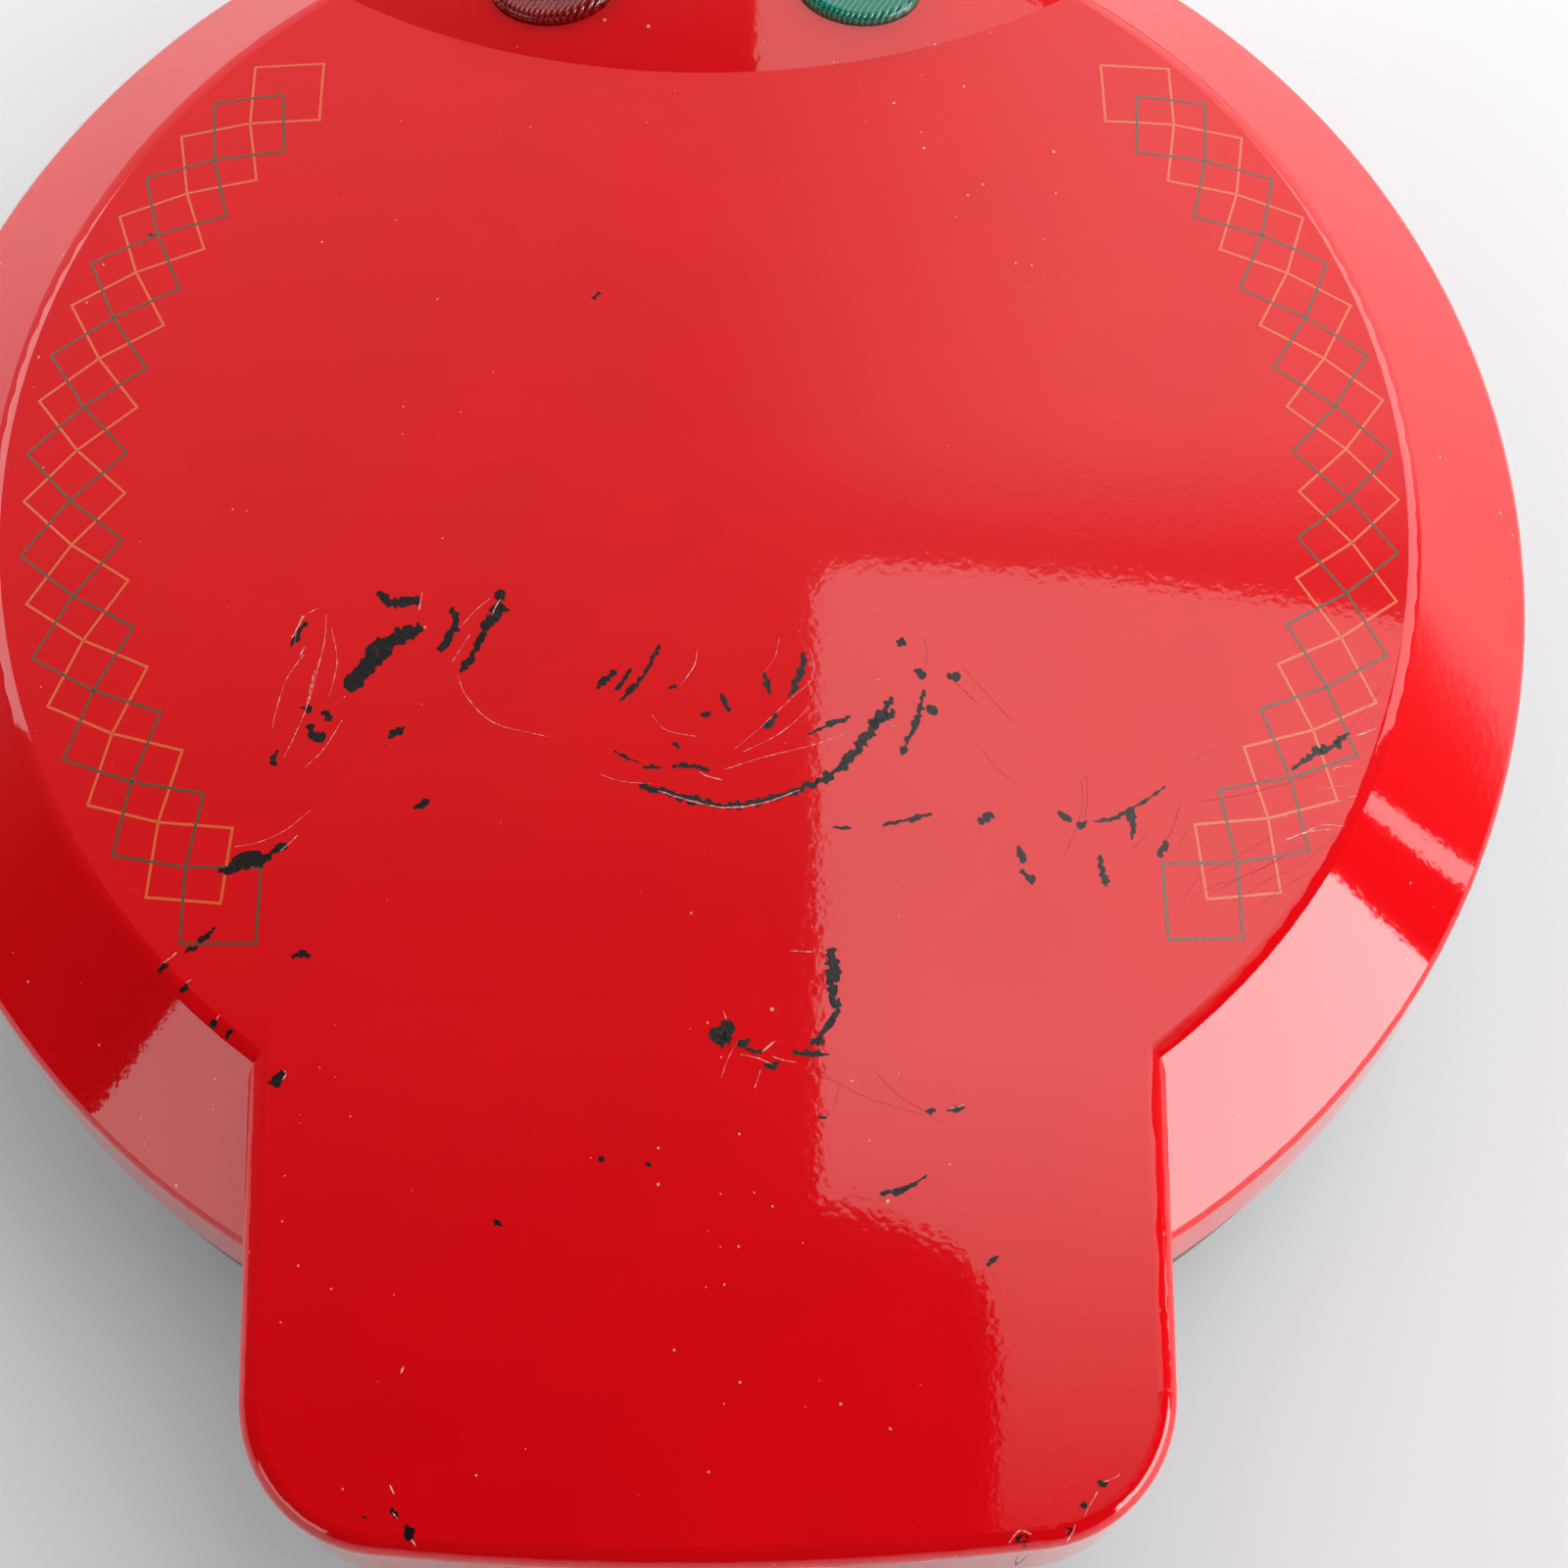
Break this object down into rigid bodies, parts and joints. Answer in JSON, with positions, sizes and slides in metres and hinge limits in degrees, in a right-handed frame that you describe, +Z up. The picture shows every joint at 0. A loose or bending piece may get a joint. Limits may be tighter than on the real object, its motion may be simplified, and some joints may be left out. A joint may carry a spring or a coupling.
{
  "type": "quesadilla maker",
  "caption": "Round countertop quesadilla maker with a floating hinged lid, wedge-pocket cooking plates, a wide front handle with a swinging latch, and two lamp lenses.",
  "frame": {"origin": "on the surface it stands on, under the middle of the whole outline", "axes": "+X to the right seen from the handle, +Y from the handle to the hinge, +Z up"},
  "size_m": [0.298, 0.3396, 0.106],
  "materials": {
    "red_gloss": "gloss red paint over black plastic",
    "black_plastic": "fine satin moulded plastic",
    "nonstick": "dark non-stick coat on cast aluminium",
    "heater": "heat-darkened steel sheath",
    "reflector": "aluminised pressed steel",
    "plated_steel": "zinc plated",
    "thermostat": "tin plated cap",
    "ceramic": "unglazed ceramic",
    "rubber": "matt",
    "red_lens": "clear coloured plastic",
    "green_lens": "clear coloured plastic",
    "white_nylon": "natural nylon",
    "lamp_glass": "clear glass"
  },
  "bodies": {
    "base": {"lower_housing": "black_plastic", "lower_trim_ring": "black_plastic", "lower_plate": "nonstick", "lower_element": "heater", "lower_element_clamps": "plated_steel", "lower_reflector": "reflector", "lower_plate_screws": "plated_steel", "housing_screws": "plated_steel", "lower_thermostat": "thermostat", "thermal_fuse": "plated_steel", "terminal_block": "ceramic", "cord_gland": "rubber", "foot_front_left": "rubber", "foot_front_right": "rubber", "foot_rear_left": "rubber", "foot_rear_right": "rubber"},
    "hinge_float": {"hinge_rod": "plated_steel", "rod_cap_left": "plated_steel", "rod_cap_right": "plated_steel"},
    "lid": {"lid_shell": "red_gloss", "upper_trim_ring": "black_plastic", "upper_plate": "nonstick", "upper_element": "heater", "upper_element_clamps": "plated_steel", "upper_reflector": "reflector", "upper_plate_screws": "plated_steel", "lid_screws": "plated_steel", "upper_thermostat": "thermostat", "hinge_yoke": "black_plastic", "yoke_screws": "plated_steel", "power_lens": "red_lens", "power_lamp_holder": "white_nylon", "power_lamp": "lamp_glass", "ready_lens": "green_lens", "ready_lamp_holder": "white_nylon", "ready_lamp": "lamp_glass", "latch_pin": "plated_steel"},
    "latch": {"latch": "black_plastic"}
  },
  "joints": [
    {"name": "lid_float", "type": "slide", "parent": "base", "child": "hinge_float", "axis": [0, 0, 1], "range_m": [0, 0.006]},
    {"name": "lid_hinge", "type": "hinge", "parent": "hinge_float", "child": "lid", "pos_m": [0, 0.1615, 0.056], "axis": [-1, 0, 0], "range_deg": [0, 95]},
    {"name": "latch_hinge", "type": "hinge", "parent": "lid", "child": "latch", "pos_m": [0, -0.161, 0.066], "axis": [1, 0, 0], "range_deg": [0, 11]}
  ]
}
